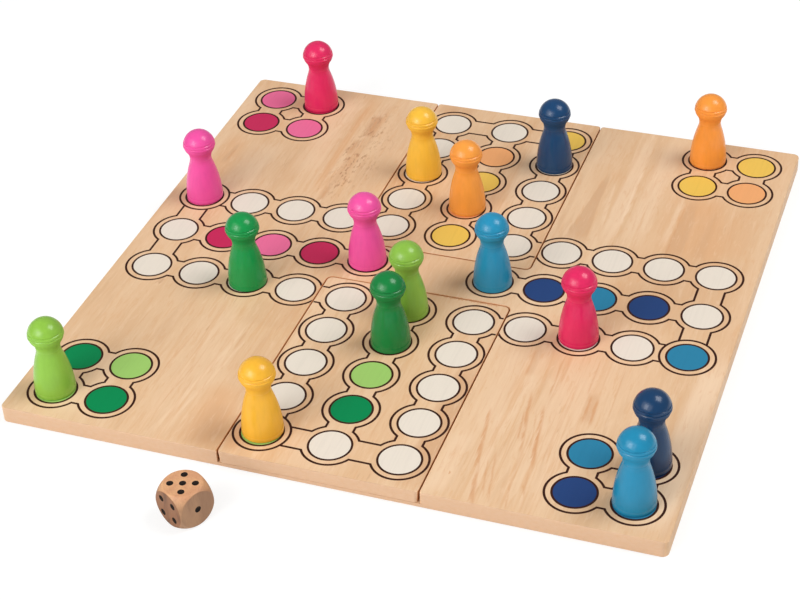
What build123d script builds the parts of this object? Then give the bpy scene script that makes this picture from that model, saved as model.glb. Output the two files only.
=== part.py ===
from build123d import *
import os
from math import atan2, cos, degrees, radians, sin

os.makedirs("parts", exist_ok=True)

# Board, in millimetres
board_side = 300.0            # the square board, edge to edge
board_thickness = 8.0
floor_thickness = 2.0         # wood left under the two recesses
board_corner = 3.0            # radius of the board's upright corners
edge_round = 0.5              # sanded rounding along the long edges

# Recesses in the board, one open to the front and one to the back
recess_width = 91.0
strip_width = 30.6            # the bridge of full thickness between the recesses
strip_shift = -1.5            # the bridge's centre line sits this far along Y
recess_corner = 3.0           # left by the router bit at the inner corners
mouth_corner = 1.6            # radius of the upright corners at the recess mouths

# Inserts that drop into the recesses
insert_gap = 0.4              # to the recess wall, all round at the top face
insert_draft = 0.4            # how far each long flank leans in at its foot
insert_round = 0.3            # sanded more lightly than the board

# Playing fields: a grid that every field centre lies on
field_pitch = 25.0            # from one field to the next
edge_margin = 18.5            # from the outermost fields' centres to the board's edge

# Turned pawn
base_radius = 9.2
foot_round = 0.8
neck_radius = 5.7
neck_height = 24.4
bulge_share = 0.78            # share of the flank's curve that bulges, the rest hollows to the neck
head_rise = 5.9               # from the neck up to the middle of the head
head_radius = 8.1
upper_groove = 22.0           # angle of the upper turned groove above the head's middle, degrees
lower_groove = 13.0           # angle of the lower one
groove_turn = 2.0             # half the angle that a groove takes up
groove_depth = 0.2
chin_step = 0.3               # the underside of the head is cut in by this much
chin_turn = 2.0               # and the step takes this angle below the head's middle

# Wooden die
die_size = 17.6               # across two opposite flat faces
ball_over = 3.3               # the ball that rounds its corners reaches this far past a face
pip_radius = 1.5
pip_depth = 0.6
pip_spread = 3.75             # from the middle of a face to a corner pip
die_aside = -45.2             # the die stands this far along X
die_ahead = 32.0              # and this far in front of the board's front edge
die_turn = 62.0               # turned about the vertical, degrees

board_half = board_side / 2
first_field = board_half - edge_margin - 4 * field_pitch  # centre line of the board to the first field
strip_ends = {-1: strip_shift - strip_width / 2, 1: strip_shift + strip_width / 2}
recess_half = recess_width / 2


def corner_edges(part, near):
    """The part's two steep edges that lie nearest to that place along Y."""
    steep = part.edges().filter_by(lambda edge: abs(edge.tangent_at(0).Z) > cos(radians(30)))
    return steep.sort_by(lambda edge: abs(edge.center().Y - near))[:2]


def rims(part):
    """The outlines of the part's top face and of its underside."""
    levels = part.faces().sort_by(Axis.Z)
    return levels[-1].outer_wire().edges() + levels[0].outer_wire().edges()


# The board: one blank with a thin floor left under the two recesses
with BuildPart() as board:
    with BuildSketch():
        RectangleRounded(board_side, board_side, board_corner)
    extrude(amount=board_thickness)
    for side, strip_end in strip_ends.items():
        with BuildSketch(Plane.XY.offset(floor_thickness)):
            with Locations((0, side * board_half)):
                Rectangle(recess_width, 2 * abs(side * board_half - strip_end))
        extrude(amount=board_thickness, mode=Mode.SUBTRACT)
        fillet(corner_edges(board, strip_end), recess_corner)
        fillet(corner_edges(board, side * board_half), mouth_corner)
    fillet(rims(board), edge_round)
board.part.label = "board"
export_step(board.part, "parts/board.step")


# The inserts: two slabs that fill the recesses, with flanks that lean in so that they lift out
insert_height = board_thickness - floor_thickness
insert_half = recess_half - insert_gap
foot_half = insert_half - insert_draft

for name, side in (("insert_front", -1), ("insert_back", 1)):
    insert_end = strip_ends[side] + side * insert_gap
    mouth = Plane(origin=(0, side * board_half, floor_thickness), x_dir=(-side, 0, 0), z_dir=(0, side, 0))
    with BuildPart() as insert:
        with BuildSketch(mouth):
            with BuildLine():
                Polyline(
                    (-foot_half, 0),
                    (foot_half, 0),
                    (insert_half, insert_height),
                    (-insert_half, insert_height),
                    close=True,
                )
            make_face()
        extrude(amount=-abs(side * board_half - insert_end))
        fillet(corner_edges(insert, insert_end), recess_corner - insert_gap)
        fillet(corner_edges(insert, side * board_half), mouth_corner)
        fillet(rims(insert), insert_round)
    insert.part.label = name
    export_step(insert.part, f"parts/{name}.step")


# The pawns: turned from one profile, each on its own field
def field(number):
    """Distance of a numbered field from the board's centre line; 0 is on the line itself."""
    if number == 0:
        return 0.0
    reach = first_field + field_pitch * (abs(number) - 1)
    return reach if number > 0 else -reach


head_middle = neck_height + head_rise
pawn_height = head_middle + head_radius
chin_radius = head_radius - chin_step
groove_radius = head_radius - groove_depth

# The flank leaves the foot upright, bulges, then hollows and is upright again at the neck
flank_width = base_radius - neck_radius
flank_height = neck_height - foot_round
flank_turn = 2 * atan2(flank_width, flank_height)
flank_radii = flank_height / sin(flank_turn)
bulge_radius = bulge_share * flank_radii
hollow_radius = flank_radii - bulge_radius

# From the neck one hollow arc runs out until it touches the ball of the head
throat_radius = (neck_radius ** 2 + head_rise ** 2 - chin_radius ** 2) / (2 * (chin_radius - neck_radius))
throat_turn = 90 - degrees(atan2(neck_radius + throat_radius, head_rise))


def on_head(radius, angle):
    """Point of the head's outline, as distance from the axis and height."""
    return radius * cos(radians(angle)), head_middle + radius * sin(radians(angle))


# Column and row of each pawn's field, and how far it stands off the field's middle along X and Y
pawn_fields = {
    "pawn_crimson_a": (-4, 5, -0.5, 0.7),
    "pawn_crimson_b": (3, -1, -0.2, 0.8),
    "pawn_pink_a": (-5, 1, -0.1, 0.1),
    "pawn_pink_b": (-1, 0, -0.1, -0.3),
    "pawn_dark_green_a": (-3, -1, 0.5, -0.2),
    "pawn_dark_green_b": (0, -2, 0.7, -1.2),
    "pawn_light_green_a": (-5, -5, -0.3, 0.5),
    "pawn_light_green_b": (0, -1, 0.7, -1.4),
    "pawn_yellow_a": (-1, -5, -0.1, 0.3),
    "pawn_yellow_b": (-1, 3, 0.6, 0.4),
    "pawn_orange_a": (4, 5, -0.5, 0.4),
    "pawn_orange_b": (0, 2, 0.4, 0.9),
    "pawn_dark_blue_a": (1, 4, 0.2, 0.0),
    "pawn_dark_blue_b": (5, -4, 0.4, 1.2),
    "pawn_light_blue_a": (1, 0, 0.0, -0.6),
    "pawn_light_blue_b": (5, -5, -0.1, 1.2),
}

for name, (column, row, aside, ahead) in pawn_fields.items():
    x = field(column) + aside
    y = field(row) + ahead
    axis_plane = Plane(origin=(x, y, board_thickness), x_dir=(1, 0, 0), z_dir=(0, -1, 0))
    with BuildPart() as pawn:
        with BuildSketch(axis_plane):
            with BuildLine():
                Line((0, pawn_height), (0, 0))
                Line((0, 0), (base_radius - foot_round, 0))
                RadiusArc((base_radius - foot_round, 0), (base_radius, foot_round), -foot_round)
                bulge = JernArc((base_radius, foot_round), (0, 1), bulge_radius, degrees(flank_turn))
                hollow = JernArc(bulge @ 1, bulge % 1, hollow_radius, -degrees(flank_turn))
                JernArc(hollow @ 1, (0, 1), throat_radius, -throat_turn)
                CenterArc((0, head_middle), chin_radius, -throat_turn, throat_turn - chin_turn)
                Line(on_head(chin_radius, -chin_turn), on_head(head_radius, 0))
                band_start = 0
                for groove in (lower_groove, upper_groove):
                    band_end = groove - groove_turn
                    CenterArc((0, head_middle), head_radius, band_start, band_end - band_start)
                    Polyline(
                        on_head(head_radius, band_end),
                        on_head(groove_radius, groove),
                        on_head(head_radius, groove + groove_turn),
                    )
                    band_start = groove + groove_turn
                CenterArc((0, head_middle), head_radius, band_start, 90 - band_start)
            make_face()
        revolve(axis=Axis((x, y, board_thickness), (0, 0, 1)))
    pawn.part.label = name
    export_step(pawn.part, f"parts/{name}.step")


# The die: a cube rounded by a ball, with its pips drilled as shallow cups
cup_radius = (pip_radius ** 2 + pip_depth ** 2) / (2 * pip_depth)
cup_middle = die_size / 2 + cup_radius - pip_depth
low, middle, high = -pip_spread, 0, pip_spread
one = [(middle, middle)]
two = [(low, low), (high, high)]
four = two + [(low, high), (high, low)]
six = [(u, v) for u in (low, high) for v in (low, middle, high)]
die_faces = (
    ((0, 0, 1), one + four),
    ((0, 0, -1), two),
    ((-1, 0, 0), four),
    ((1, 0, 0), one + two),
    ((0, -1, 0), one),
    ((0, 1, 0), six),
)
die_plane = Plane(
    origin=(die_aside, -board_half - die_ahead, die_size / 2),
    x_dir=(cos(radians(die_turn)), sin(radians(die_turn)), 0),
    z_dir=(0, 0, 1),
)
with BuildPart(die_plane) as die:
    Box(die_size, die_size, die_size)
    Sphere(die_size / 2 + ball_over, mode=Mode.INTERSECT)
    for outward, pips in die_faces:
        with Locations(Plane(origin=(0, 0, 0), z_dir=outward).offset(cup_middle)):
            with Locations(*pips):
                Sphere(cup_radius, mode=Mode.SUBTRACT)
die.part.label = "die"
export_step(die.part, "parts/die.step")
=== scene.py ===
# Ludo board with lift-out panels, sixteen turned pawns and a wooden die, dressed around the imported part
from math import acos, asin, atan2, cos, degrees, pi, radians, sin, sqrt

import bmesh
import bpy
from mathutils import Matrix, Vector


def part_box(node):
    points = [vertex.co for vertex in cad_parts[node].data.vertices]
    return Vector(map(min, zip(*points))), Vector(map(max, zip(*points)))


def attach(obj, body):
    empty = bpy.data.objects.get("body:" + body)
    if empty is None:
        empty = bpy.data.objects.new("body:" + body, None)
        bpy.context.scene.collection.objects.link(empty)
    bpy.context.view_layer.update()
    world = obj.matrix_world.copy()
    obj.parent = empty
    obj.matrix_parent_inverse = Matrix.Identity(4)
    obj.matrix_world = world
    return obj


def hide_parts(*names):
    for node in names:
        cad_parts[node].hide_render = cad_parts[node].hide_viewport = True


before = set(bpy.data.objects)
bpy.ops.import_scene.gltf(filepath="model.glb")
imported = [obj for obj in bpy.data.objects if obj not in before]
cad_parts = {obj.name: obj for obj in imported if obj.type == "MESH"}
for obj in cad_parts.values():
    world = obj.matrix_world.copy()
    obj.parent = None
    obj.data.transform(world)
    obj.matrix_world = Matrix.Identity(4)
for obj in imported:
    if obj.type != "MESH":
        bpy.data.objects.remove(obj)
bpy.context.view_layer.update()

mm = 0.001
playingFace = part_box("board")[1].z
print("frame loaded:", len(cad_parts), "nodes")


# shader helpers

class Wire:
    # an output of a shader node; arithmetic on it adds Math nodes
    def __init__(self, shader, socket):
        self.shader, self.socket = shader, socket

    def math(self, operation, *values):
        return self.shader.node("Math", {"operation": operation}, dict(enumerate(values)))

    def __add__(self, other):
        return self.math("ADD", self, other)

    def __radd__(self, other):
        return self.math("ADD", other, self)

    def __sub__(self, other):
        return self.math("SUBTRACT", self, other)

    def __rsub__(self, other):
        return self.math("SUBTRACT", other, self)

    def __mul__(self, other):
        return self.math("MULTIPLY", self, other)

    def __rmul__(self, other):
        return self.math("MULTIPLY", other, self)

    def size(self):
        return self.math("ABSOLUTE", self)

    def line(self, slope, start):
        # slope times the value, plus start
        return self.math("MULTIPLY_ADD", self, slope, start)

    def fade(self, low, high, toLow=0.0, toHigh=1.0):
        # smooth step from toLow to toHigh as the value goes from low to high
        return self.shader.node("MapRange", {"interpolation_type": "SMOOTHSTEP"}, {
            "Value": self, "From Min": low, "From Max": high, "To Min": toLow, "To Max": toHigh})


class Shader:
    def __init__(self, name):
        self.material = bpy.data.materials.new(name)
        self.material.use_nodes = True
        self.tree = self.material.node_tree
        self.tree.nodes.clear()

    def node(self, kind, settings=None, values=None, output=0):
        # any node: its settings first, then what goes into its sockets
        made = self.tree.nodes.new("ShaderNode" + kind)
        for key, value in (settings or {}).items():
            setattr(made, key, value)
        for key, value in (values or {}).items():
            if isinstance(value, Wire):
                self.tree.links.new(value.socket, made.inputs[key])
            else:
                made.inputs[key].default_value = value
        return Wire(self, made.outputs[output] if made.outputs else None)

    def place(self, stretch, shift):
        # object coordinates, scaled along each axis and then moved
        here = self.node("TexCoord", output="Object")
        scaled = self.node("VectorMath", {"operation": "MULTIPLY"}, {0: here, 1: stretch})
        return self.node("VectorMath", {"operation": "ADD"}, {0: scaled, 1: shift})

    def noise(self, stretch, shift=(0, 0, 0), detail=2.0, roughness=0.5, distortion=0.0):
        return self.node("TexNoise", {"noise_dimensions": "3D"}, {
            "Vector": self.place(stretch, shift), "Scale": 1.0, "Detail": detail,
            "Roughness": roughness, "Distortion": distortion})

    def split(self, vector):
        parts = self.node("SeparateXYZ", values={0: vector}).socket.node
        return [Wire(self, parts.outputs[k]) for k in range(3)]

    def axes(self):
        return self.split(self.node("TexCoord", output="Object"))

    def facing(self):
        # the surface's own direction, in object space
        return self.split(self.node("TexCoord", output="Normal"))

    def mix(self, factor, first, second):
        # a Mix node has its colours at inputs 6 and 7 and at output 2
        return self.node("Mix", {"data_type": "RGBA"}, {0: factor, 6: first, 7: second}, output=2)

    def finish(self, sockets, height, depth):
        # the surface itself: varying inputs are wires, the rest plain values; height gives the relief
        relief = self.node("Bump", values={"Strength": 1.0, "Distance": depth, "Height": height})
        surface = self.node("BsdfPrincipled", values={**sockets, "Normal": relief})
        self.node("OutputMaterial", values={"Surface": surface})
        return self.material


def tint(red, green, blue):
    # a colour written as it should show, 0 to 255, turned into Blender's linear values
    def linear(level):
        share = level / 255
        return share / 12.92 if share <= 0.04045 else ((share + 0.055) / 1.055) ** 2.4
    return (linear(red), linear(green), linear(blue), 1.0)


def darker(colour, share):
    return tuple(share * level for level in colour[:3]) + (1.0,)


def newPiece(name, bm, material):
    # an object from finished mesh data
    mesh = bpy.data.meshes.new(name)
    bm.to_mesh(mesh)
    bm.free()
    mesh.materials.append(material)
    piece = bpy.data.objects.new(name, mesh)
    bpy.context.scene.collection.objects.link(piece)
    return piece


# wood of the board and its two panels

boardWood = {
    "pale": tint(236, 199, 160),
    "mid": tint(228, 187, 145),
    "dark": tint(212, 167, 127),
    "light": tint(246, 214, 180),
    "warm": tint(228, 178, 132),
    "vein": tint(224, 172, 124),
    "fleck": tint(176, 118, 82),
    "streak": tint(217, 157, 110),
    "endGrain": tint(216, 178, 146),
    "seamShade": tint(186, 112, 56),
    "roughness": (0.40, 0.50),
    "ior": 1.42,
    "relief": 0.008 * mm,           # depth of the grain
    "waver": 1.8 * mm,              # how far the fine strokes push the sides of a mark
    "sway": 4.0 * mm,               # and how far the broader flame does
    "fleckShare": 0.8,
    "endFrom": 149.4 * mm,          # end grain shows from here outwards
    "endTo": 149.8 * mm,
    "endShare": 0.85,
    "seamLow": 2.1 * mm,            # painted shade on the walls of the seams, between these heights
    "seamHigh": 7.995 * mm,
    "seamHalf": 46.0 * mm,          # and no further than this from the middle line
    "seamFade": {"foot": 0.3 * mm, "top": 0.10 * mm, "side": 0.2 * mm, "end": 0.4 * mm},
    "seamShadeShare": 0.9,
}

# some of these marks are painted light and shade, noted where they stand
# marks in the wood: x and y of the near end, x and y of the far end, half width at each end,
# softness of the sides, strength; millimetres on the playing face
boardMarks = {
    "light": (
        (74, 44, 73, 152, 4.0, 3.0, 1.5, 0.55),
        (86, 46, 87, 150, 5.0, 4.0, 1.8, 0.50),
        (101, 48, 101.5, 96, 1.6, 1.0, 0.9, 0.55),
        (77, 60, 76.5, 118, 0.8, 0.5, 0.5, 0.5),
        (68, 60, 66, 100, 1.0, 0.4, 0.5, 0.5),
        # painted light: a lighter strip along the right front edge, where the light from the right falls
        (141, -152, 146, -20, 8.0, 5.0, 3.0, 0.9),
        (147, -40, 147, 146, 2.5, 3.0, 2.0, 0.25),
        (-147, 40, -147, 146, 4.0, 4.0, 3.0, 0.35),
        (-92, 60, -92, 148, 7.0, 7.0, 3.0, 0.4),
        (54, 112, 56, 152, 7.0, 8.0, 4.0, 0.3),
        (51, -150, 53, -104, 5.0, 4.0, 3.0, 0.55),
        (92, -150, 90, -44, 12.0, 10.0, 4.0, 0.30),
        (67, -150, 64, -90, 2.0, 1.5, 1.2, 0.40),
        (-78, -150, -66, -56, 0.9, 0.6, 0.6, 0.55),
        (-74, -148, -63, -70, 0.7, 0.5, 0.5, 0.5),
        (-84, -146, -80, -52, 1.0, 0.6, 0.7, 0.3),
        (-119, -150, -117, -96, 8.0, 6.0, 4.0, 0.5),
        (-121, 20, -119, 92, 9.0, 7.0, 4.0, 0.5),
        (60, -108, 64, -44, 8.0, 10.0, 5.0, 0.3),
    ),
    "warm": (
        (116, 38, 113, 100, 14.0, 8.0, 4.5, 0.75),
        (132, 46, 134, 96, 8.0, 6.0, 4.0, 0.4),
        (-80, 46, -80.5, 150, 1.6, 1.4, 1.0, 0.6),
        (-84, -20, -92, 20, 4.0, 4.0, 3.0, 0.3),
        # partly the wood's own tone, partly painted shadow: a warmer patch where the front yellow pawn's
        # shadow falls
        (-55, -152, -60, -104, 10.0, 5.0, 6.0, 0.7),
        (-136, 46, -137, 92, 8.0, 5.0, 4.0, 0.6),
        (91, -16, 90, 18, 10.0, 9.0, 3.0, 0.25),
        (74, -64, 73, -42, 8.0, 7.0, 5.0, 0.2),
    ),
    "dark": (
        (58.9, 40, 60.8, 108, 6.0, 0.4, 0.5, 0.62),
        (48.4, 42, 48.0, 112, 1.6, 1.0, 0.8, 0.3),
        (107, 38, 108, 96, 4.6, 1.6, 1.2, 0.45),
        (119, 40, 119.5, 88, 3.4, 1.0, 2.0, 0.35),
        (112, -18, 112, 46, 30.0, 30.0, 8.0, 0.22),
        (-57, 44, -56, 150, 7.0, 7.0, 4.0, 0.25),
        (-136, 62, -135, 84, 1.6, 0.8, 1.0, 0.5),
        (-127, 50, -124, 84, 3.5, 2.5, 3.0, 0.25),
        (-71, 46, -70, 148, 3.0, 3.0, 2.5, 0.4),
        (-122.5, -46, -121.2, -41, 1.6, 1.2, 0.9, 0.9),
        # partly the wood's own tone, partly painted shadow: a darker patch where the front yellow pawn's
        # shadow falls
        (-53, -150, -56, -118, 6.0, 4.0, 4.0, 0.45),
        (-72.0, 106, -72.6, 130, 3.0, 2.4, 1.4, 0.8),
        (-75.4, 88, -74.8, 104, 1.8, 1.4, 1.2, 0.7),
        (-73.4, 42, -73.2, 58, 1.6, 1.2, 1.2, 0.6),
        (-60, -64, -58, -42, 12.0, 12.0, 4.0, 0.25),
        (100, -90, 98.5, -66, 3.0, 2.4, 1.4, 0.45),
        (67, -64, 66.5, -42, 1.4, 1.4, 1.0, 0.35),
        (-74, 2, -74, 24, 5.0, 5.0, 3.0, 0.3),
    ),
    "streak": (
        (63.5, -130, 57.6, -88, 1.0, 0.5, 0.6, 0.85),
        (68.5, -152, 63.2, -124, 1.2, 0.6, 0.7, 0.7),
        (74.5, -148, 68.5, -116, 0.5, 0.4, 0.5, 0.6),
        (71.5, -146, 66.5, -120, 0.3, 0.3, 0.4, 0.5),
        (78.6, -116, 71.6, -72, 0.7, 0.5, 0.6, 0.8),
        (75.4, -108, 72.2, -86, 0.3, 0.3, 0.4, 0.6),
        (81.4, -110, 77.6, -86, 0.3, 0.3, 0.4, 0.5),
        (85.8, -124, 79.4, -80, 1.0, 0.5, 0.6, 0.9),
        (88.6, -150, 84.6, -122, 0.5, 0.4, 0.5, 0.5),
        (82.5, -150, 79.0, -130, 0.5, 0.3, 0.4, 0.5),
        (79.8, -76, 79.2, -42, 0.4, 0.3, 0.4, 0.6),
        (82.6, -70, 82.2, -42, 0.3, 0.3, 0.4, 0.4),
        (66.2, -64, 65.6, -44, 0.6, 0.4, 0.5, 0.5),
        (95.6, -70, 95.0, -42, 0.4, 0.3, 0.4, 0.5),
        (98.4, -90, 97.6, -68, 0.5, 0.4, 0.4, 0.7),
        (101.6, -88, 101.0, -70, 0.7, 0.5, 0.4, 0.7),
        (108.0, -84, 107.2, -46, 0.3, 0.3, 0.4, 0.4),
        (131.5, -60, 131.0, -42, 0.4, 0.4, 0.4, 0.3),
        (54.0, -135, 53.6, -133.4, 0.4, 0.4, 0.3, 0.9),
        (104.2, 40, 104.6, 92, 0.5, 0.3, 0.4, 0.5),
        (79.6, 70, 79.2, 92, 0.3, 0.2, 0.3, 0.35),
        (-71.4, 112, -71.8, 124, 0.8, 0.5, 0.9, 0.6),
        (-75.2, 92, -74.8, 101, 0.6, 0.4, 0.8, 0.6),
        (-73.2, 44, -73.0, 54, 0.5, 0.4, 0.7, 0.5),
        (-71.0, 76, -71.2, 84, 0.5, 0.4, 0.6, 0.5),
        (-134.6, 66, -134.2, 78, 0.5, 0.4, 0.5, 0.5),
        (-90.4, -100, -88.6, -72, 0.4, 0.3, 0.5, 0.4),
        (-82.0, -128, -78.6, -94, 0.4, 0.3, 0.5, 0.4),
        (-66.4, -84, -65.8, -58, 0.4, 0.3, 0.5, 0.4),
        (-117.0, -80, -116.0, -62, 0.3, 0.3, 0.4, 0.3),
        # painted shade: a darker line along the board's edge beside the front panel's seam
        (24, -16.9, 24, -16.2, 18, 18, 4.0, 0.9),
    ),
    "vein": (
        (80, -156, 76, -30, 22.0, 18.0, 14.0, 0.7),
        (96, 30, 92, 156, 30.0, 30.0, 12.0, 0.15),
        (-74, -156, -70, -30, 26.0, 24.0, 10.0, 0.4),
        (-74, 40, -74, 150, 12.0, 12.0, 5.0, 0.6),
    ),
    "speckle": (                    # where dark pores gather
        (-71.5, 40, -71.0, 146, 7.0, 6.5, 2.0, 0.8),
        (-61.0, 50, -60.0, 124, 6.0, 4.0, 3.0, 0.35),
    ),
}
frontMarks = {
    "light": ((0, -140, 0, -20, 10.0, 10.0, 5.0, 0.3), (-4, -152, -4, -126, 16.0, 14.0, 5.0, 0.35)),
    "warm": ((-41, -150, -42, -120, 4.0, 2.0, 2.0, 0.6),),
    "dark": ((40, -152, 41, -60, 6.5, 4.5, 2.5, 0.75), (-10, -70, -12, -34, 5.0, 3.0, 3.0, 0.3)),
    # the second streak is painted shade along the panel's back edge at the seam
    "streak": ((14, -124, 15, -100, 0.3, 0.3, 0.3, 0.25), (24, -18.0, 24, -17.1, 18.0, 18.0, 4.0, 0.9)),
    "vein": ((0, -160, 0, -10, 60.0, 60.0, 5.0, 0.3),),
}
backMarks = {
    "light": ((20, 60, 22, 140, 5.0, 6.0, 4.0, 0.4),),
    "warm": ((-40, 62, -41, 78, 3.5, 2.5, 1.6, 0.8), (0, 40, 0, 60, 12.0, 10.0, 5.0, 0.4)),
    "dark": ((-34, 141, -33, 150, 9.0, 9.0, 2.0, 0.5), (6, 84, 8, 150, 6.0, 8.0, 5.0, 0.35)),
    "streak": ((-18, 44, -17, 58, 0.3, 0.3, 0.3, 0.3),),
    "vein": ((0, 10, 0, 160, 60.0, 60.0, 5.0, 0.3),),
}


def markMask(x, y, marks):
    # wedges and strokes along the grain that fade towards both ends; x and y come in a little wavy
    total = 0.0
    for nearX, nearY, farX, farY, nearHalf, farHalf, soft, strength in marks:
        lean = (farX - nearX) / (farY - nearY)
        swell = (farHalf - nearHalf) / (farY - nearY)
        middle = y.line(lean, (nearX - lean * nearY) * mm)
        half = y.line(swell, (nearHalf - swell * nearY) * mm)
        reach = abs(farY - nearY) / 2 * mm
        ends = (y - (nearY + farY) / 2 * mm).size().fade(0.6 * reach, 1.05 * reach, 1.0, 0.0)
        inside = ((x - middle).size() - half).fade(-soft * mm, soft * mm, strength, 0.0)
        total = inside.line(ends, total)
    return total


def woodMaterial(name, shift, marks):
    shader = Shader(name)
    x, y, z = shader.axes()
    broad = shader.noise((34, 4.0, 34), shift, detail=3, roughness=0.55, distortion=0.4)
    hue = shader.noise((26, 3.5, 26), (shift[0] + 9, shift[1], shift[2]), detail=2)
    flame = shader.noise((110, 9.0, 110), shift, detail=4, roughness=0.6, distortion=1.2)
    veins = shader.noise((300, 14, 300), (shift[0] + 4, shift[1], shift[2]),
                         detail=3, roughness=0.6, distortion=0.5)
    lines = shader.noise((800, 16, 800), (shift[0] + 6, shift[1], shift[2]), detail=2)
    strokes = shader.noise((560, 90, 560), shift, detail=4, roughness=0.62, distortion=0.6)
    fibre = shader.noise((1300, 90, 1300), shift, detail=2)
    # marks read wavy places, so that their sides and ends follow the grain
    tight = (strokes - 0.5) * boardWood["waver"]
    fineX = x + tight
    wavyX = fineX + (flame - 0.5) * boardWood["sway"]
    wavyY = y + tight * 3.0
    colour = shader.mix(broad.fade(0.36, 0.64), boardWood["mid"], boardWood["pale"])
    colour = shader.mix(hue.fade(0.50, 0.70) * 0.40, colour, boardWood["warm"])
    colour = shader.mix(flame.fade(0.52, 0.68) * 0.26, colour, boardWood["dark"])
    colour = shader.mix(flame.fade(0.30, 0.44, 0.34, 0.0), colour, boardWood["light"])
    for kind in ("light", "warm", "dark"):
        colour = shader.mix(markMask(wavyX, wavyY, marks[kind]), colour, boardWood[kind])
    veined = markMask(wavyX, wavyY, marks["vein"])
    colour = shader.mix(veins.fade(0.50, 0.66) * (veined * 0.55 + 0.12), colour, boardWood["vein"])
    colour = shader.mix(lines.fade(0.56, 0.68) * (veined * 0.30 + 0.04), colour, boardWood["streak"])
    streaked = markMask(fineX, wavyY, marks["streak"]) * strokes.fade(0.34, 0.56, 0.55, 1.0)
    colour = shader.mix(streaked, colour, boardWood["streak"])
    colour = shader.mix(strokes.fade(0.52, 0.68) * 0.34, colour, boardWood["vein"])
    colour = shader.mix(strokes.fade(0.30, 0.46, 0.26, 0.0), colour, boardWood["light"])
    colour = shader.mix(fibre.fade(0.40, 0.75) * 0.08, colour, boardWood["dark"])
    pores = shader.noise((900, 120, 900), (shift[0], shift[1] + 3, shift[2]), detail=1)
    patch = shader.noise((44, 16, 44), (shift[0] + 5, shift[1], shift[2]), detail=2)
    flecks = pores.fade(0.66, 0.78) * patch.fade(0.54, 0.70, 0.0, 0.28)
    if "speckle" in marks:
        spots = shader.noise((620, 210, 620), (2, 9, 1), detail=2, roughness=0.65)
        clumps = shader.noise((150, 70, 150), (8, 1, 3), detail=3)
        band = markMask(wavyX, wavyY, marks["speckle"])
        flecks = spots.fade(0.50, 0.66) * clumps.fade(0.42, 0.60, 0.25, 1.0) * band + flecks
    colour = shader.mix(flecks * boardWood["fleckShare"], colour, boardWood["fleck"])
    rings = shader.noise((420, 0, 700), shift, detail=3, roughness=0.6)
    endColour = shader.mix(rings.fade(0.3, 0.75) * 0.5, boardWood["endGrain"], boardWood["dark"])
    atEnd = y.size().fade(boardWood["endFrom"], boardWood["endTo"]) * boardWood["endShare"]
    colour = shader.mix(atEnd, colour, endColour)
    # painted shade: the walls of the seams are tinted darker brown, from just above the recess floor to
    # just under the top
    low, high, half, outer = [boardWood[key] for key in ("seamLow", "seamHigh", "seamHalf", "endFrom")]
    soft = boardWood["seamFade"]
    seamShadeMask = z.fade(low, low + soft["foot"])
    seamShadeMask = z.fade(high - soft["top"], high, 1.0, 0.0) * seamShadeMask
    seamShadeMask = x.size().fade(half, half + soft["side"], 1.0, 0.0) * seamShadeMask
    seamShadeMask = y.size().fade(outer - soft["end"], outer, 1.0, 0.0) * seamShadeMask
    colour = shader.mix(seamShadeMask * boardWood["seamShadeShare"], colour, boardWood["seamShade"])
    return shader.finish({
        "Base Color": colour,
        "Roughness": flame.fade(0.3, 0.8, *boardWood["roughness"]),
        "IOR": boardWood["ior"],
    }, strokes * 0.3 + fibre * 0.2 - flecks * 0.5, boardWood["relief"])


woods = {
    "board": woodMaterial("lacqueredBoard", (0, 0, 0), boardMarks),
    "insert_front": woodMaterial("lacqueredFrontPanel", (7.3, 2.1, 0), frontMarks),
    "insert_back": woodMaterial("lacqueredBackPanel", (13.7, 5.4, 0), backMarks),
}
for node, wood in woods.items():
    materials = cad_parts[node].data.materials
    materials.clear()
    materials.append(wood)
print("wood laid on the board and its two panels")


# the printed fields

track = {
    "first": 31.5 * mm,            # middle of the board to the first field
    "pitch": 25.0 * mm,            # field to field
    "disc": 9.45 * mm,             # middle of the line round a disc
    "discLine": 1.0 * mm,
    "ring": 12.55 * mm,            # middle of the outline round a field
    "ringLine": 1.08 * mm,
    "neck": 6.3 * mm,              # half the width of the neck between two fields
    "inkTop": 0.03 * mm,           # discs stand this much above the wood
    "lineTop": 0.045 * mm,
    "inkFoot": -0.03 * mm,
    "steps": 72,                   # corners of a full circle
    "edge": 0.35 * mm,             # no ink on the rounded edges
    "gap": 0.4 * mm,               # between a panel and its recess
    "weld": 0.01 * mm,             # corners closer than this become one
    "grain": (900, 40, 900),
    "darkest": 0.96,               # share of the colour that is left in the grain
    "roughness": 0.42,
    "ior": 1.25,
    "relief": 0.01 * mm,
}

inks = {
    "outline": tint(58, 27, 18),
    "white": tint(235, 224, 209),
    "crimson": tint(200, 44, 90),
    "pink": tint(238, 113, 157),
    "dark_green": tint(0, 138, 80),
    "light_green": tint(162, 206, 110),
    "yellow": tint(238, 196, 90),
    "orange": tint(242, 172, 114),
    "dark_blue": tint(38, 68, 122),
    "light_blue": tint(44, 130, 166),
}


def at(number):
    # distance of a numbered field from the middle of the board; 0 is on the middle line
    if number == 0:
        return 0.0
    reach = track["first"] + track["pitch"] * (abs(number) - 1)
    return reach if number > 0 else -reach


def turned(column, row, quarters):
    # the same field after that many quarter turns of the board
    for _ in range(quarters):
        column, row = -row, column
    return column, row


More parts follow.
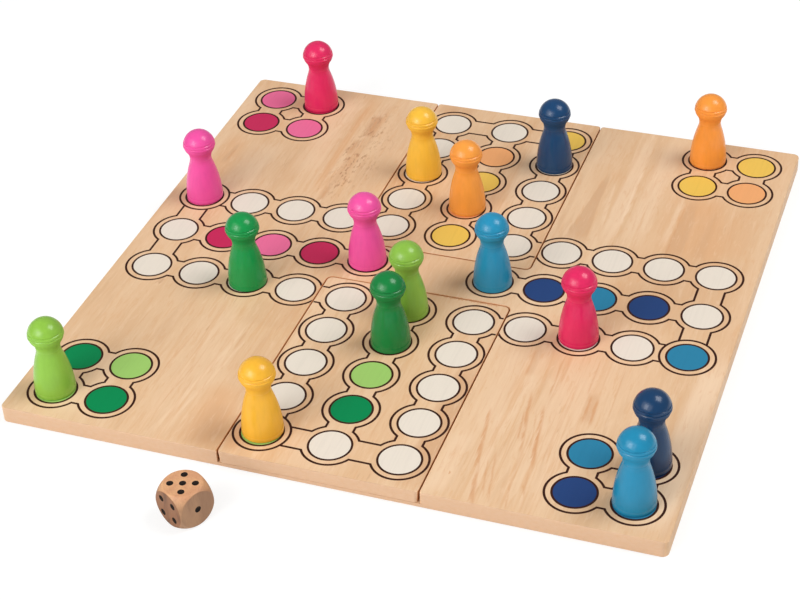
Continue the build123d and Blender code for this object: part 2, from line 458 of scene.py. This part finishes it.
arms = (                            # quarter turns from the front arm, outer goal colour, inner colour
    (0, "dark_green", "light_green"),
    (1, "dark_blue", "light_blue"),
    (2, "orange", "yellow"),
    (3, "crimson", "pink"),
)
fields, closed, necks = {}, set(), []
for quarters, strong, soft in arms:
    for row in range(1, 6):
        for column in (-1, 1):
            fields.setdefault(turned(column, -row, quarters), "white")
            if row > 1:
                necks.append((turned(column, 1 - row, quarters), turned(column, -row, quarters)))
        fields[turned(0, -row, quarters)] = ("white", strong, soft)[0 if row == 5 else 1 + row % 2]
        if row > 1:
            necks.append((turned(0, 1 - row, quarters), turned(0, -row, quarters)))
    for column in (-1, 1):
        necks.append((turned(column, -5, quarters), turned(0, -5, quarters)))
    start = turned(-1, -5, quarters)
    fields[start] = soft
    closed.add(start)
homes = (                           # side along X and Y, colour where column and row add up odd, even
    (-1, 1, "crimson", "pink"),
    (1, 1, "orange", "yellow"),
    (1, -1, "dark_blue", "light_blue"),
    (-1, -1, "dark_green", "light_green"),
)
for sideX, sideY, odd, even in homes:
    for a in (4, 5):
        for b in (4, 5):
            fields[(sideX * a, sideY * b)] = odd if (a + b) % 2 else even
        necks.append(((sideX * 4, sideY * a), (sideX * 5, sideY * a)))
        necks.append(((sideX * a, sideY * 4), (sideX * a, sideY * 5)))


def sideTurn(reach, half):
    # angle at which a neck's side meets a circle of that radius
    return asin(half / reach)


def addBand(bm, outer, inner):
    # a strip of quads between two rows of points
    rows = [[bm.verts.new((px, py, track["inkFoot"])) for px, py in row] for row in (outer, inner)]
    for k in range(len(outer) - 1):
        bm.faces.new((rows[0][k], rows[0][k + 1], rows[1][k + 1], rows[1][k]))


def arc(middle, radius, start, end, steps):
    return [(middle[0] + radius * cos(start + (end - start) * k / steps),
             middle[1] + radius * sin(start + (end - start) * k / steps)) for k in range(steps + 1)]


def addRing(bm, middle, radius, line):
    half = line / 2
    addBand(bm, arc(middle, radius + half, 0, 2 * pi, track["steps"]),
            arc(middle, radius - half, 0, 2 * pi, track["steps"]))


def addOutline(bm, field, directions):
    # the outline round one field, open where necks leave it
    middle = (at(field[0]), at(field[1]))
    half = track["ringLine"] / 2
    if field in closed:
        addRing(bm, middle, track["ring"], track["ringLine"])
        return
    directions = sorted(directions)
    wide = sideTurn(track["ring"] + half, track["neck"] + half)
    slim = sideTurn(track["ring"] - half, track["neck"] - half)
    for here, following in zip(directions, directions[1:] + [directions[0] + 2 * pi]):
        steps = max(2, round(track["steps"] * (following - here) / (2 * pi)))
        addBand(bm, arc(middle, track["ring"] + half, here + wide, following - wide, steps),
                arc(middle, track["ring"] - half, here + slim, following - slim, steps))


def addNeck(bm, first, second):
    # the two side lines of the neck between neighbouring fields
    half = track["ringLine"] / 2
    start = Vector((at(first[0]), at(first[1])))
    end = Vector((at(second[0]), at(second[1])))
    along = (end - start).normalized()
    across = Vector((-along.y, along.x))

    def reach(field, offset, inner):
        # how far from a field's middle a side line begins; it stops short at a closed ring
        radius = track["ring"] + (half if field in closed or not inner else -half)
        return sqrt(radius ** 2 - offset ** 2)

    for side in (-1, 1):
        rows = []
        for inner, offset in ((False, track["neck"] + half), (True, track["neck"] - half)):
            shift = across * side * offset
            rows.append([start + shift + along * reach(first, offset, inner),
                         end + shift - along * reach(second, offset, inner)])
        addBand(bm, *rows)


printShift = {                      # each piece is printed apart: its print sits off by X, Y and degrees
    "board": (-0.17 * mm, 0.0, 0.13),
    "insert_front": (0.2 * mm, -0.9 * mm, -0.5),
    "insert_back": (0.2 * mm, -0.27 * mm, -0.2),
}
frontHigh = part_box("insert_front")[1]
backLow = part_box("insert_back")[0]
inkHalf = frontHigh.x - track["edge"]                   # ink on a panel ends here, across
inkStop = frontHigh.x + track["gap"] + track["edge"]    # and starts again here on the board
inkEnds = {"insert_front": frontHigh.y, "insert_back": backLow.y}


def clipTo(bm, host):
    # cuts the ink along the seams and keeps what lies on that piece
    def cut(where, normal, drop=False):
        geometry = bm.verts[:] + bm.edges[:] + bm.faces[:]
        bmesh.ops.bisect_plane(bm, geom=geometry, plane_co=where, plane_no=normal, clear_outer=drop)

    if host == "board":
        limits = {side: inkEnds[node] - side * (track["gap"] + track["edge"])
                  for side, node in ((-1, "insert_front"), (1, "insert_back"))}
        for side in (-1, 1):
            cut((side * inkStop, 0, 0), (1, 0, 0))
            cut((0, limits[side], 0), (0, 1, 0))
        inRecess = [face for face in bm.faces
                    if abs(face.calc_center_median().x) < inkStop
                    and not limits[-1] < face.calc_center_median().y < limits[1]]
        bmesh.ops.delete(bm, geom=inRecess, context="FACES")
    else:
        side = -1 if host == "insert_front" else 1
        for across in (-1, 1):
            cut((across * inkHalf, 0, 0), (across, 0, 0), True)
        cut((0, inkEnds[host] + side * track["edge"], 0), (0, -side, 0), True)


def makeInk(host, name, bm, top, ink):
    # shifts flat ink with its host's print, trims it, thickens it and lays it on
    low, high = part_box(host)
    aside, ahead, turn = printShift[host]
    bmesh.ops.rotate(bm, verts=bm.verts[:], cent=(0, (low.y + high.y) / 2, 0),
                     matrix=Matrix.Rotation(radians(turn), 3, "Z"))
    bmesh.ops.translate(bm, verts=bm.verts[:], vec=(aside, ahead, 0))
    clipTo(bm, host)
    if not bm.faces:
        bm.free()
        return
    bmesh.ops.remove_doubles(bm, verts=bm.verts[:], dist=track["weld"])
    grown = bmesh.ops.extrude_face_region(bm, geom=bm.faces[:], use_keep_orig=True)
    raised = [part for part in grown["geom"] if isinstance(part, bmesh.types.BMVert)]
    bmesh.ops.translate(bm, verts=raised, vec=(0, 0, top - track["inkFoot"]))
    bmesh.ops.translate(bm, verts=bm.verts[:], vec=(0, 0, playingFace))
    bmesh.ops.recalc_face_normals(bm, faces=bm.faces[:])
    piece = newPiece(name, bm, inkMaterials[ink])
    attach(piece, host)
    ink + "_ink"


def inkMaterial(name, colour):
    shader = Shader(name + "Ink")
    grain = shader.noise(track["grain"])
    return shader.finish({
        "Base Color": shader.mix(grain.fade(0.4, 0.8), colour, darker(colour, track["darkest"])),
        "Roughness": track["roughness"],
        "IOR": track["ior"],
    }, grain, track["relief"])


inkMaterials = {name: inkMaterial(name, colour) for name, colour in inks.items()}
directionsOf = {field: [] for field in fields}
for first, second in necks:
    for here, there in ((first, second), (second, first)):
        directionsOf[here].append(atan2(at(there[1]) - at(here[1]), at(there[0]) - at(here[0])))

for host in ("board", "insert_front", "insert_back"):
    lines = bmesh.new()
    for field, directions in directionsOf.items():
        addOutline(lines, field, directions)
        addRing(lines, (at(field[0]), at(field[1])), track["disc"], track["discLine"])
    for first, second in necks:
        addNeck(lines, first, second)
    makeInk(host, f"outlines_{host}", lines, track["lineTop"], "outline")
    for ink in sorted(set(fields.values())):
        discs = bmesh.new()
        for field, colour in fields.items():
            if colour == ink:
                corners = arc((at(field[0]), at(field[1])), track["disc"], 0, 2 * pi, track["steps"])[:-1]
                discs.faces.new([discs.verts.new((px, py, track["inkFoot"])) for px, py in corners])
        makeInk(host, f"fields_{ink}_{host}", discs, track["inkTop"], ink)
print("fields printed:", len(fields), "fields,", len(necks), "necks")


# turned pawns

pawn = {
    "baseRadius": 9.2 * mm,
    "footRound": 0.8 * mm,
    "neckRadius": 5.45 * mm,
    "neckHeight": 23.4 * mm,
    "bulgeShare": 0.86,             # of the flank's curve, the rest hollows to the neck
    "headRise": 6.9 * mm,           # neck to the middle of the head
    "headRadius": 8.1 * mm,
    "grooves": (8.0, 18.5),         # degrees above the head's middle
    "grooveTurn": 2.5,
    "grooveDepth": 0.25 * mm,
    "chinRound": 4.7 * mm,          # arc that rounds the underside of the head
    "chinStep": 0.3 * mm,           # the underside is cut in by this much
    "chinTurn": 2.0,
    "segments": 96,
    "steps": {"foot": 8, "bulge": 20, "hollow": 14, "throat": 8, "chin": 12, "band": 6, "crown": 26},
    "secondTurn": 140,              # degrees that the second pawn of a colour is turned by
    "letterTurn": 37,               # and degrees for each letter of the colour's name
    "deep": 0.86,                   # share of the colour that is left where the lacquer is thick
    "roughness": (0.7, 0.27),       # under the head and elsewhere
    "ior": 1.36,
    "coat": 0.3,
    "coatRoughness": 0.12,
    "coatIor": 1.4,
    "relief": 0.012 * mm,
}

lacquers = {                        # the two pawns of each colour differ a little in tone
    "crimson": (tint(232, 42, 100), tint(230, 40, 98)),
    "pink": (tint(246, 84, 167), tint(248, 86, 167)),
    "dark_green": (tint(16, 151, 74), tint(14, 129, 61)),
    "light_green": (tint(144, 196, 70), tint(142, 192, 72)),
    "yellow": (tint(247, 184, 54), tint(253, 195, 64)),
    "orange": (tint(254, 158, 63), tint(255, 164, 68)),
    "dark_blue": (tint(22, 68, 112), tint(19, 60, 100)),
    "light_blue": (tint(38, 147, 189), tint(30, 138, 178)),
}


def sweep(middle, radius, start, end, steps):
    # points along an arc of the outline, angles in degrees
    return arc(middle, radius, radians(start), radians(end), steps)


def pawnOutline():
    # radius and height of each point from the foot up, and which of the points stay crisp
    base, neck, foot = pawn["baseRadius"], pawn["neckRadius"], pawn["footRound"]
    level, rise, head = pawn["neckHeight"], pawn["headRise"], pawn["headRadius"]
    steps = pawn["steps"]
    height = level - foot
    turn = 2 * atan2(base - neck, height)
    bulge = pawn["bulgeShare"] * height / sin(turn)
    hollow = (1 - pawn["bulgeShare"]) * height / sin(turn)
    ball = (0, level + rise)
    chin = pawn["chinRound"] - pawn["chinStep"]
    chinMiddle = (head - pawn["chinRound"], ball[1])
    reach = neck - chinMiddle[0]
    throat = (reach ** 2 + rise ** 2 - chin ** 2) / (2 * (chin - reach))
    throatTurn = 90 - degrees(atan2(reach + throat, rise))
    outline = [(0, 0)]
    outline += sweep((base - foot, foot), foot, -90, 0, steps["foot"])
    outline += sweep((base - bulge, foot), bulge, 0, degrees(turn), steps["bulge"])[1:]
    outline += sweep((neck + hollow, level), hollow, 180 + degrees(turn), 180, steps["hollow"])[1:]
    outline += sweep((neck + throat, level), throat, 180, 180 - throatTurn, steps["throat"])[1:]
    outline += sweep(chinMiddle, chin, -throatTurn, -pawn["chinTurn"], steps["chin"])[1:]
    creases = []
    start = 0
    for groove in pawn["grooves"]:
        outline += sweep(ball, head, start, groove - pawn["grooveTurn"], steps["band"])
        outline += sweep(ball, head - pawn["grooveDepth"], groove, groove, 1)[:1]
        start = groove + pawn["grooveTurn"]
        creases += [len(outline) - 2, len(outline) - 1, len(outline)]
    outline += sweep(ball, head, start, 90, steps["crown"])
    outline[-1] = (0, outline[-1][1])
    return outline, creases


def turnMesh(name, outline, creases, segments):
    # spins the outline round Z, with one point where it meets the axis
    bm = bmesh.new()
    spins = [2 * pi * k / segments for k in range(segments)]
    rows = []
    for radius, height in outline:
        if radius == 0:
            rows.append([bm.verts.new((0, 0, height))])
        else:
            rows.append([bm.verts.new((radius * cos(spin), radius * sin(spin), height)) for spin in spins])
    for lower, upper in zip(rows, rows[1:]):
        for k in range(segments):
            following = (k + 1) % segments
            corners = [lower[k % len(lower)], lower[following % len(lower)],
                       upper[following % len(upper)], upper[k % len(upper)]]
            bm.faces.new(list(dict.fromkeys(corners))).smooth = True
    for row in creases:
        for first, second in zip(rows[row], rows[row][1:] + rows[row][:1]):
            bm.edges.get((first, second)).smooth = False
    mesh = bpy.data.meshes.new(name)
    bm.to_mesh(mesh)
    bm.free()
    return mesh


def lacquerMaterial(node, colour):
    shader = Shader(node + "_lacquer")
    streaks = shader.noise((700, 700, 60), detail=3)
    cloud = shader.noise((140, 140, 90), (3, 1, 2), detail=2)
    deep = darker(colour, pawn["deep"])
    shade = shader.mix(streaks.fade(0.35, 0.75) * 0.3 + cloud.fade(0.4, 0.7) * 0.3, colour, deep)
    upward = shader.facing()[2]
    # the lacquer runs thin under the head and dries matt there
    return shader.finish({
        "Base Color": shade,
        "Roughness": upward.fade(-0.35, 0.05, *pawn["roughness"]),
        "IOR": pawn["ior"],
        "Coat Weight": upward.fade(-0.3, 0.05, 0.0, pawn["coat"]),
        "Coat Roughness": pawn["coatRoughness"],
        "Coat IOR": pawn["coatIor"],
    }, streaks * 0.5 + cloud, pawn["relief"])


outline, creases = pawnOutline()
for name, colours in lacquers.items():
    for letter, colour in zip("ab", colours):
        node = f"pawn_{name}_{letter}"
        low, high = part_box(node)
        mesh = turnMesh(f"turned_{node}", outline, creases, pawn["segments"])
        mesh.materials.append(lacquerMaterial(node, colour))
        piece = bpy.data.objects.new(f"lacquered_{node}", mesh)
        piece.location = ((low.x + high.x) / 2, (low.y + high.y) / 2, low.z)
        turn = pawn["secondTurn"] * "ab".index(letter) + pawn["letterTurn"] * len(name)
        piece.rotation_euler.z = radians(turn)
        bpy.context.scene.collection.objects.link(piece)
        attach(piece, node)
        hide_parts(node)
        name + "_lacquer"
print("pawns turned and lacquered")


# die

dice = {
    "size": 17.6 * mm,
    "ballOver": 3.3 * mm,           # the rounding ball reaches this far past a face
    "soften": 0.3 * mm,             # where flat and ball meet
    "pipRadius": 1.5 * mm,
    "pipDepth": 0.6 * mm,
    "pipSpread": 3.75 * mm,
    "turn": 62.0,                   # degrees, about the vertical
    "steps": 96,
    # rows of corners from the middle of a face: the flat ends at 1, the ball meets the next face at 2
    "rows": (0.35, 0.7, 0.9, 0.95, 0.97, 0.98, 0.99, 1.0, 1.15, 1.3, 1.5, 1.75, 2.0),
    "weld": 0.002 * mm,
    "cupRounds": 4,                 # how often the faces of a pip's cutter are divided
    "sharpFrom": 40,                # degrees between two faces from which their edge stays crisp
    # painted shade: the sides are darker than the top, and the left side darker and redder than the right,
    # as the light falls on them
    "top": (tint(226, 172, 126), tint(214, 156, 116)),
    "left": (tint(146, 99, 67), tint(114, 76, 52)),
    "right": (tint(176, 134, 100), tint(160, 120, 90)),
    "fibre": tint(120, 78, 52),
    "fibreShare": 0.18,
    "roughness": 0.5,
    "ior": 1.42,
    "relief": 0.02 * mm,
    "paint": (tint(22, 14, 10), tint(34, 24, 18)),
    "paintRoughness": 0.65,
    "paintIor": 1.3,
}
spotsOf = {                         # spots of each face, as steps of pipSpread along its two sides
    1: ((0, 0),),
    2: ((-1, -1), (1, 1)),
    3: ((-1, -1), (0, 0), (1, 1)),
    4: ((-1, -1), (-1, 1), (1, -1), (1, 1)),
    5: ((-1, -1), (-1, 1), (0, 0), (1, -1), (1, 1)),
    6: ((-1, -1), (-1, 0), (-1, 1), (1, -1), (1, 0), (1, 1)),
}
# axis and side of each face, and its spots
dieFaces = {(2, 1): 5, (2, -1): 2, (0, -1): 4, (0, 1): 3, (1, -1): 1, (1, 1): 6}


def dieReach(polar):
    # distance from the middle to the surface, in a direction that far off a face's own axis
    flat = dice["size"] / 2 / cos(polar)
    ball = dice["size"] / 2 + dice["ballOver"]
    blend = max(dice["soften"] - abs(flat - ball), 0) / dice["soften"]
    return min(flat, ball) - blend * blend * dice["soften"] / 4


def onAxis(axis, across, upward, outward):
    # a point of one face, put in the die's own X, Y, Z
    local = (across, upward, outward)
    return [local[(k - axis - 1) % 3] for k in range(3)]


def addDieFace(bm, axis, side):
    steps = dice["steps"]
    flatEnd = acos(dice["size"] / 2 / (dice["size"] / 2 + dice["ballOver"]))
    rows = [[bm.verts.new(onAxis(axis, 0, 0, side * dieReach(0)))]]
    for share in dice["rows"]:
        row = []
        for k in range(steps):
            spin = 2 * pi * k / steps
            edge = atan2(1, max(abs(cos(spin)), abs(sin(spin))))
            polar = flatEnd * share if share <= 1 else flatEnd + (edge - flatEnd) * (share - 1)
            reach = dieReach(polar)
            row.append(bm.verts.new(onAxis(axis, reach * sin(polar) * cos(spin),
                                           reach * sin(polar) * sin(spin), side * reach * cos(polar))))
        rows.append(row)
    for inner, outer in zip(rows, rows[1:]):
        for k in range(steps):
            following = (k + 1) % steps
            corners = [inner[k % len(inner)], outer[k], outer[following], inner[following % len(inner)]]
            bm.faces.new(list(dict.fromkeys(corners))).smooth = True


def dieWoodPaintedShade():
    # painted shade: the sides are painted darker than the top, and the left side darker and redder than
    # the right, as the light falls on them
    shader = Shader("dieWoodPaintedShade")
    broad = shader.noise((150, 150, 40), detail=3, distortion=0.6)
    fibre = shader.noise((2200, 2200, 150), detail=2)
    rightward, _, upward = shader.facing()
    top = shader.mix(broad.fade(0.35, 0.65), *dice["top"])
    left = shader.mix(broad.fade(0.38, 0.62), *dice["left"])
    right = shader.mix(broad.fade(0.38, 0.62), *dice["right"])
    sides = shader.mix(rightward.fade(-0.3, 0.3), left, right)
    colour = shader.mix(upward.fade(0.25, 0.80), sides, top)
    colour = shader.mix(fibre.fade(0.45, 0.75) * dice["fibreShare"], colour, dice["fibre"])
    return shader.finish({
        "Base Color": colour,
        "Roughness": dice["roughness"],
        "IOR": dice["ior"],
    }, fibre, dice["relief"])


def pipPaint():
    shader = Shader("pipPaint")
    uneven = shader.noise((900, 900, 900), detail=2)
    return shader.finish({
        "Base Color": shader.mix(uneven, *dice["paint"]),
        "Roughness": dice["paintRoughness"],
        "IOR": dice["paintIor"],
    }, uneven, dice["relief"])


body = bmesh.new()
for axis, side in dieFaces:
    addDieFace(body, axis, side)
bmesh.ops.remove_doubles(body, verts=body.verts[:], dist=dice["weld"])
bmesh.ops.recalc_face_normals(body, faces=body.faces[:])
die = newPiece("wooden_die", body, dieWoodPaintedShade())

cups = bmesh.new()
cupRadius = (dice["pipRadius"] ** 2 + dice["pipDepth"] ** 2) / (2 * dice["pipDepth"])
cupReach = dice["size"] / 2 + cupRadius - dice["pipDepth"]
for (axis, side), spots in dieFaces.items():
    for across, upward in spotsOf[spots]:
        where = onAxis(axis, across * dice["pipSpread"], upward * dice["pipSpread"], side * cupReach)
        bmesh.ops.create_icosphere(cups, subdivisions=dice["cupRounds"], radius=cupRadius,
                                   matrix=Matrix.Translation(where))
for face in cups.faces:
    face.smooth = True
cutter = newPiece("pip_cutter", cups, pipPaint())
drill = die.modifiers.new("pips", "BOOLEAN")
drill.object = cutter
drill.operation = "DIFFERENCE"
drill.solver = "EXACT"
drill.material_mode = "TRANSFER"
bpy.context.view_layer.update()
drilled = bpy.data.meshes.new_from_object(die.evaluated_get(bpy.context.evaluated_depsgraph_get()))
die.modifiers.clear()
die.data = drilled
die.data.set_sharp_from_angle(angle=radians(dice["sharpFrom"]))
bpy.data.objects.remove(cutter)
die.data.transform(Matrix.Rotation(radians(dice["turn"]), 4, "Z"))
low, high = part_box("die")
die.location = (low + high) / 2
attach(die, "die")
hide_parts("die")
print("die shaped and its pips drilled")


# floor, light and camera

stage = {
    "size": 4.0,                    # half the floor's side, in metres
    "cells": 8,
    "drop": 0.02 * mm,              # the floor lies this much under the part
    "paper": (tint(246, 246, 245), tint(250, 250, 249)),
    "shaded": (tint(150, 150, 149), tint(154, 154, 153)),
    "glow": 0.74,
    "room": (1.0, 0.99, 0.98, 1.0),
    "roomLight": 0.30,
    "backdrop": (1.0, 1.0, 1.0, 1.0),
}


def floorMaterial():
    # light meets plain paper; the camera sees darker paper that glows, so only a soft shadow is left
    shader = Shader("paleFloor")
    speck = shader.noise((600, 600, 600), detail=2)
    paper = shader.mix(speck, *stage["paper"])
    matt = shader.node("BsdfDiffuse", values={"Color": paper})
    shaded = shader.mix(speck, *stage["shaded"])
    thin = shader.node("BsdfDiffuse", values={"Color": shaded})
    glow = shader.node("Emission", values={"Color": (1, 1, 1, 1), "Strength": stage["glow"]})
    seen = shader.node("AddShader", values={0: thin, 1: glow})
    light = shader.node("LightPath").socket.node
    straight = Wire(shader, light.outputs["Is Camera Ray"])
    through = Wire(shader, light.outputs["Is Transmission Ray"])
    wanted = straight.math("MAXIMUM", straight, through)
    surface = shader.node("MixShader", values={0: wanted, 1: matt, 2: seen})
    shader.node("OutputMaterial", values={"Surface": surface})
    return shader.material


ground = bmesh.new()
bmesh.ops.create_grid(ground, x_segments=stage["cells"], y_segments=stage["cells"], size=stage["size"])
floor = newPiece("floor", ground, floorMaterial())
floor.location.z = -stage["drop"]

# where each light comes from, its distance and size in metres, and its share of the light
lamps = {
    "key": {"from": (0.49, 0.15, 0.86), "far": 1.7, "wide": 0.80, "tall": 0.80, "share": 0.41},
    "fill": {"from": (-0.37, -0.76, 0.53), "far": 1.5, "wide": 0.58, "tall": 0.68, "share": 0.14},
    "bounce": {"from": (-0.38, -0.74, 0.55), "far": 2.2, "wide": 2.6, "tall": 1.6, "share": 0.26},
}
for name, lamp in lamps.items():
    light = bpy.data.lights.new(name, "AREA")
    light.shape = "RECTANGLE"
    light.size, light.size_y = lamp["wide"], lamp["tall"]
    direction = Vector(lamp["from"]).normalized()
    light.energy = pi * pi * lamp["share"] * lamp["far"] ** 2 / direction.z
    holder = bpy.data.objects.new(name, light)
    holder.location = direction * lamp["far"]
    holder.rotation_euler = direction.to_track_quat("Z", "Y").to_euler()
    bpy.context.scene.collection.objects.link(holder)

world = bpy.data.worlds.new("studio")
world.use_nodes = True
bpy.context.scene.world = world
tree = world.node_tree
tree.nodes.clear()
room = tree.nodes.new("ShaderNodeBackground")
room.inputs["Color"].default_value = stage["room"]
room.inputs["Strength"].default_value = stage["roomLight"]
backdrop = tree.nodes.new("ShaderNodeBackground")
backdrop.inputs["Color"].default_value = stage["backdrop"]
backdrop.inputs["Strength"].default_value = 1.0
chosen = tree.nodes.new("ShaderNodeMixShader")
rays = tree.nodes.new("ShaderNodeLightPath")
out = tree.nodes.new("ShaderNodeOutputWorld")
tree.links.new(rays.outputs["Is Camera Ray"], chosen.inputs[0])
tree.links.new(room.outputs[0], chosen.inputs[1])
tree.links.new(backdrop.outputs[0], chosen.inputs[2])
tree.links.new(chosen.outputs[0], out.inputs["Surface"])

view = {
    "spot": (251.7 * mm, -692.4 * mm, 532.9 * mm),
    "right": (0.942637, 0.331098, -0.042549),
    "up": (-0.164016, 0.570385, 0.804836),
    "pixels": 1894.73,              # focal length in pixels of an image 800 wide
    "imageWidth": 800,
    "sensor": 36.0,                 # width in millimetres
    "clip": (0.05, 20),             # nearest and furthest that it sees, in metres
}
camera = bpy.data.cameras.new("camera")
camera.sensor_width = view["sensor"]
camera.lens = view["pixels"] / view["imageWidth"] * view["sensor"]
camera.clip_start, camera.clip_end = view["clip"]
eye = bpy.data.objects.new("camera", camera)
right, up = Vector(view["right"]), Vector(view["up"])
facing = Matrix((right, up, right.cross(up))).transposed().to_4x4()
eye.matrix_world = Matrix.Translation(view["spot"]) @ facing
bpy.context.scene.collection.objects.link(eye)
bpy.context.scene.camera = eye
bpy.context.scene.view_settings.view_transform = "Standard"
print("floor, lights and camera set")
